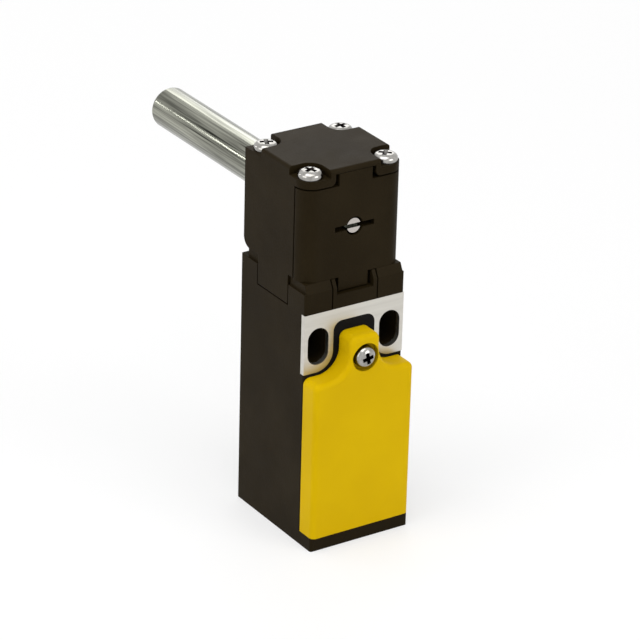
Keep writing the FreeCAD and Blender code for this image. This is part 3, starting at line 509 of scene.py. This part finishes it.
def recess_bar(head_radius, head_height, turn):
    """The cutter for one bar of a cross recess, narrowing downwards, with the head's top at height zero."""
    cutter = bmesh.new()
    size = (2 * head_radius * RECESS_REACH, head_radius * RECESS_WIDTH, 2 * head_height * RECESS_DEPTH)
    bar = bmesh.ops.create_cube(cutter, size=1.0)["verts"]
    bmesh.ops.scale(cutter, vec=size, verts=bar)
    low = [vert for vert in bar if vert.co.z < 0]
    bmesh.ops.scale(cutter, vec=RECESS_TAPER, verts=low)
    bmesh.ops.rotate(cutter, cent=(0.0, 0.0, 0.0), matrix=Matrix.Rotation(turn, 3, "Z"), verts=bar)
    return cutter


def screw_profile(head_radius, head_height, shank_radius, shank_length):
    """Half outline of a pan head screw along -Z, from the middle of its crown to the middle of its end."""
    crown_width = head_radius * CROWN_WIDTH
    crown_drop = head_height * CROWN_DROP
    profile = [(0.0, 0.0)]
    for step in range(CROWN_STEPS + 1):
        angle = QUARTER_TURN * step / CROWN_STEPS
        radius = head_radius - crown_width * (1 - math.sin(angle))
        profile.append((radius, -crown_drop * (1 - math.cos(angle))))
    end = -head_height - shank_length
    profile += [(head_radius, -head_height), (shank_radius, -head_height), (shank_radius, end), (0.0, end)]
    return profile


def pan_head_screw(head_radius, head_height, shank_radius, shank_length):
    """A pan head screw mesh along -Z with the head's top at height zero and a cross recess."""
    profile = screw_profile(head_radius, head_height, shank_radius, shank_length)
    screw = plain_object("screw_blank", turned(profile))
    tools = [screw]
    for turn in (0.0, QUARTER_TURN):
        cutter = plain_object("recess_cutter", recess_bar(head_radius, head_height, turn))
        boolean = screw.modifiers.new("recess", "BOOLEAN")
        boolean.operation = "DIFFERENCE"
        boolean.object = cutter
        tools.append(cutter)
    bpy.context.view_layer.update()
    cut_screw = screw.evaluated_get(bpy.context.evaluated_depsgraph_get())
    cut_mesh = bpy.data.meshes.new_from_object(cut_screw)
    for tool in tools:
        bpy.data.objects.remove(tool)
    return cut_mesh


def placed_copies(mesh, places):
    """One bmesh that holds a copy of a mesh at each place."""
    joined = bmesh.new()
    for place in places:
        before = set(joined.verts)
        joined.from_mesh(mesh)
        added = [vert for vert in joined.verts if vert not in before]
        bmesh.ops.transform(joined, matrix=place, verts=added)
    return joined


def make_cover_screw():
    """The screw in the cover's neck, its head facing the front."""
    low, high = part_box("cover_screw")
    head_radius = (high[0] - low[0]) / 2
    shank_length = high[1] - low[1] - COVER_SCREW_HEAD_HEIGHT
    mesh = pan_head_screw(head_radius, COVER_SCREW_HEAD_HEIGHT, COVER_SCREW_SHANK_RADIUS, shank_length)
    front = Matrix.Translation((0.0, low[1], (low[2] + high[2]) / 2))
    facing_front = Matrix.Rotation(QUARTER_TURN, 4, "X")
    place = front @ facing_front @ Matrix.Rotation(COVER_SCREW_TURN, 4, "Z")
    piece = finished_piece("cover_screw_cross", placed_copies(mesh, [place]), "screw_steel", "switch_body")
    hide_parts("cover_screw")


def make_head_screws():
    """The four screws in the corners of the head, each turned as it was left."""
    low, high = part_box("head_screws")
    inset = HEAD_SCREW_HEAD_RADIUS
    shank_length = high[2] - low[2] - HEAD_SCREW_HEAD_HEIGHT
    mesh = pan_head_screw(
        HEAD_SCREW_HEAD_RADIUS, HEAD_SCREW_HEAD_HEIGHT, HEAD_SCREW_SHANK_RADIUS, shank_length
    )
    corners = [(x, y) for x in (low[0] + inset, high[0] - inset) for y in (low[1] + inset, high[1] - inset)]
    places = []
    for (x, y), turn in zip(corners, HEAD_SCREW_TURNS):
        places.append(Matrix.Translation((x, y, high[2])) @ Matrix.Rotation(turn, 4, "Z"))
    piece = finished_piece("head_screws_cross", placed_copies(mesh, places), "screw_steel", "switch_body")
    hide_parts("head_screws")


# Thread and spring


def make_entry_thread():
    """A thread in the cable entry: a low ridge wound up the wall of the bore."""
    mounts = {mount["name"]: mount for mount in frame["record"]["mounts"]}
    entry = mounts["conduit_entry"]
    middle_depth = entry["pos_m"][1]
    wall_radius = entry["dims"]["r_mm"] * MM
    root_radius = wall_radius + ENTRY_THREAD_ROOT
    crest_radius = wall_radius - ENTRY_THREAD_HEIGHT
    half_pitch = ENTRY_PITCH / 2
    foot = solids_box[0][2] + half_pitch
    corners = [(root_radius, foot), (root_radius, foot + half_pitch), (crest_radius, foot + half_pitch / 2)]
    ridge = bmesh.new()
    points = [ridge.verts.new((radius, middle_depth, height)) for radius, height in corners]
    section = ridge.faces.new(points)
    bmesh.ops.spin(
        ridge,
        geom=[section, *section.edges, *section.verts],
        cent=(0.0, middle_depth, 0.0),
        axis=(0.0, 0.0, 1.0),
        dvec=(0.0, 0.0, ENTRY_PITCH / ENTRY_THREAD_STEPS),
        angle=FULL_TURN * ENTRY_THREAD_TURNS,
        steps=ENTRY_THREAD_STEPS * ENTRY_THREAD_TURNS,
    )
    finished_piece("entry_thread", ridge, "black_plastic", "switch_body")


def make_return_spring():
    """The coil under the plunger's collar, as a fixed coil that rides on the switch body."""
    low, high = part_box("return_spring")
    middle_depth = (low[1] + high[1]) / 2
    length = high[2] - low[2]
    coil_radius = (high[0] - low[0]) / 2 - SPRING_WIRE_RADIUS
    start = Matrix.Translation((coil_radius, middle_depth, low[2] + SPRING_WIRE_RADIUS))
    upright = Matrix.Rotation(QUARTER_TURN, 4, "X")
    coil = bmesh.new()
    bmesh.ops.create_circle(
        coil, cap_ends=True, segments=SPRING_WIRE_SIDES, radius=SPRING_WIRE_RADIUS, matrix=start @ upright
    )
    steps = SPRING_STEPS * SPRING_TURNS
    bmesh.ops.spin(
        coil,
        geom=[*coil.faces, *coil.edges, *coil.verts],
        cent=(0.0, middle_depth, 0.0),
        axis=(0.0, 0.0, 1.0),
        dvec=(0.0, 0.0, (length - 2 * SPRING_WIRE_RADIUS) / steps),
        angle=FULL_TURN * SPRING_TURNS,
        steps=steps,
    )
    piece = finished_piece("return_spring_coil", coil, "spring_steel", "switch_body")
    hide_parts("return_spring")
    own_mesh(piece)


make_cover_screw()
make_head_screws()
make_entry_thread()
make_return_spring()


# Surround, floor, lamps and camera


def light_path_white(nodes, links):
    """One where the ray comes from the camera, a gloss or a glass, and zero elsewhere."""
    path = nodes.new("ShaderNodeLightPath")
    camera_or_gloss = nodes.new("ShaderNodeMath")
    camera_or_gloss.operation = "MAXIMUM"
    links.new(path.outputs["Is Camera Ray"], camera_or_gloss.inputs[0])
    links.new(path.outputs["Is Glossy Ray"], camera_or_gloss.inputs[1])
    any_of_them = nodes.new("ShaderNodeMath")
    any_of_them.operation = "MAXIMUM"
    links.new(camera_or_gloss.outputs[0], any_of_them.inputs[0])
    links.new(path.outputs["Is Transmission Ray"], any_of_them.inputs[1])
    return any_of_them.outputs[0]


def make_world():
    """A white surround to look at, and a softer one to light with."""
    world = bpy.data.worlds.new("studio")
    bpy.context.scene.world = world
    world.use_nodes = True
    nodes = world.node_tree.nodes
    links = world.node_tree.links
    lighting = nodes["Background"]
    lighting.inputs["Strength"].default_value = WORLD_LIGHT
    lighting.inputs["Color"].default_value = WHITE
    seen = nodes.new("ShaderNodeBackground")
    seen.inputs["Color"].default_value = WHITE
    mix = nodes.new("ShaderNodeMixShader")
    links.new(light_path_white(nodes, links), mix.inputs["Fac"])
    links.new(lighting.outputs["Background"], mix.inputs[1])
    links.new(seen.outputs["Background"], mix.inputs[2])
    links.new(mix.outputs["Shader"], nodes["World Output"].inputs["Surface"])


def white_share(nodes, links):
    """How much of the floor looks plain white: a part near the switch, and all of it further off."""
    place = nodes.new("ShaderNodeTexCoord")
    away = nodes.new("ShaderNodeVectorMath")
    away.operation = "LENGTH"
    links.new(place.outputs["Object"], away.inputs[0])
    whiter = nodes.new("ShaderNodeMapRange")
    whiter.inputs["From Min"].default_value = FLOOR_NEAR
    whiter.inputs["From Max"].default_value = FLOOR_FAR
    whiter.inputs["To Min"].default_value = FLOOR_WHITE
    links.new(away.outputs["Value"], whiter.inputs["Value"])
    share = nodes.new("ShaderNodeMath")
    share.operation = "MULTIPLY"
    links.new(light_path_white(nodes, links), share.inputs[0])
    links.new(whiter.outputs["Result"], share.inputs[1])
    return share.outputs[0]


def floor_finish():
    """A pale floor that keeps a soft shadow near the switch and looks whiter further off."""
    material, nodes, links, shader = new_material("floor_white")
    colour = tone_between(nodes, links, object_noise(nodes, links, *FLOOR_TONE), FLOOR_DARK, FLOOR_LIGHT)
    links.new(colour, shader.inputs["Base Color"])
    shader.inputs["Roughness"].default_value = FLOOR_ROUGHNESS
    white = nodes.new("ShaderNodeEmission")
    mix = nodes.new("ShaderNodeMixShader")
    links.new(white_share(nodes, links), mix.inputs["Fac"])
    links.new(shader.outputs["BSDF"], mix.inputs[1])
    links.new(white.outputs["Emission"], mix.inputs[2])
    links.new(mix.outputs["Shader"], nodes["Material Output"].inputs["Surface"])
    return material


def make_floor():
    """The floor, just under the lowest point of the switch."""
    form = bmesh.new()
    bmesh.ops.create_grid(form, x_segments=1, y_segments=1, size=FLOOR_SIZE / 2)
    bmesh.ops.translate(form, vec=(0.0, 0.0, solids_box[0][2] - FLOOR_GAP), verts=form.verts)
    floor = plain_object("floor", form)
    floor.data.materials.append(floor_finish())


def area_light(name, place, aim, width, height, power):
    """A flat soft light at a place, facing a point."""
    light = bpy.data.lights.new(name, "AREA")
    light.shape = "RECTANGLE"
    light.size = width
    light.size_y = height
    light.energy = power
    item = bpy.data.objects.new(name, light)
    item.location = place
    item.rotation_euler = (Vector(aim) - Vector(place)).to_track_quat("-Z", "Y").to_euler()
    bpy.context.scene.collection.objects.link(item)


def make_lamps():
    """Four soft lamps round the switch, and a narrow one that draws the bright line along the shaft."""
    area_light("top_light", place=(-0.15, -0.1, 0.75), aim=AIM_POINT, width=0.6, height=0.6, power=3.4)
    area_light("front_light", place=(0.35, -0.8, 0.35), aim=AIM_POINT, width=0.5, height=0.5, power=2.4)
    area_light("left_light", place=(-0.75, -0.05, 0.3), aim=AIM_POINT, width=0.5, height=0.5, power=1.4)
    area_light("rear_light", place=(0.42, 0.62, 0.42), aim=AIM_POINT, width=0.5, height=0.5, power=1.3)
    beside_shaft = (0.0, 0.76, 0.0)
    area_light("shaft_strip", place=(-0.6, 0.76, 0.29), aim=beside_shaft, width=0.3, height=0.035, power=0.9)


def make_camera():
    """The camera of the photograph."""
    camera = bpy.data.cameras.new("camera")
    camera.sensor_fit = "HORIZONTAL"
    camera.sensor_width = CAMERA_SENSOR_MM
    camera.lens = CAMERA_LENS_MM
    camera.shift_x = (IMAGE_PIXELS / 2 - AIM_PIXEL[0]) / IMAGE_PIXELS
    camera.shift_y = (AIM_PIXEL[1] - IMAGE_PIXELS / 2) / IMAGE_PIXELS
    camera.clip_start = CAMERA_CLIP_START
    item = bpy.data.objects.new("camera", camera)
    turn = Matrix.Rotation(CAMERA_AZIMUTH, 4, "Z") @ Matrix.Rotation(QUARTER_TURN - CAMERA_ELEVATION, 4, "X")
    turn = turn @ Matrix.Rotation(CAMERA_ROLL, 4, "Z")
    back = turn @ Vector((0.0, 0.0, 1.0))
    item.matrix_world = Matrix.Translation(AIM_POINT + back * CAMERA_DISTANCE) @ turn
    bpy.context.scene.collection.objects.link(item)
    bpy.context.scene.camera = item


make_world()
make_floor()
make_lamps()
make_camera()
bpy.context.scene.view_settings.view_transform = "Standard"
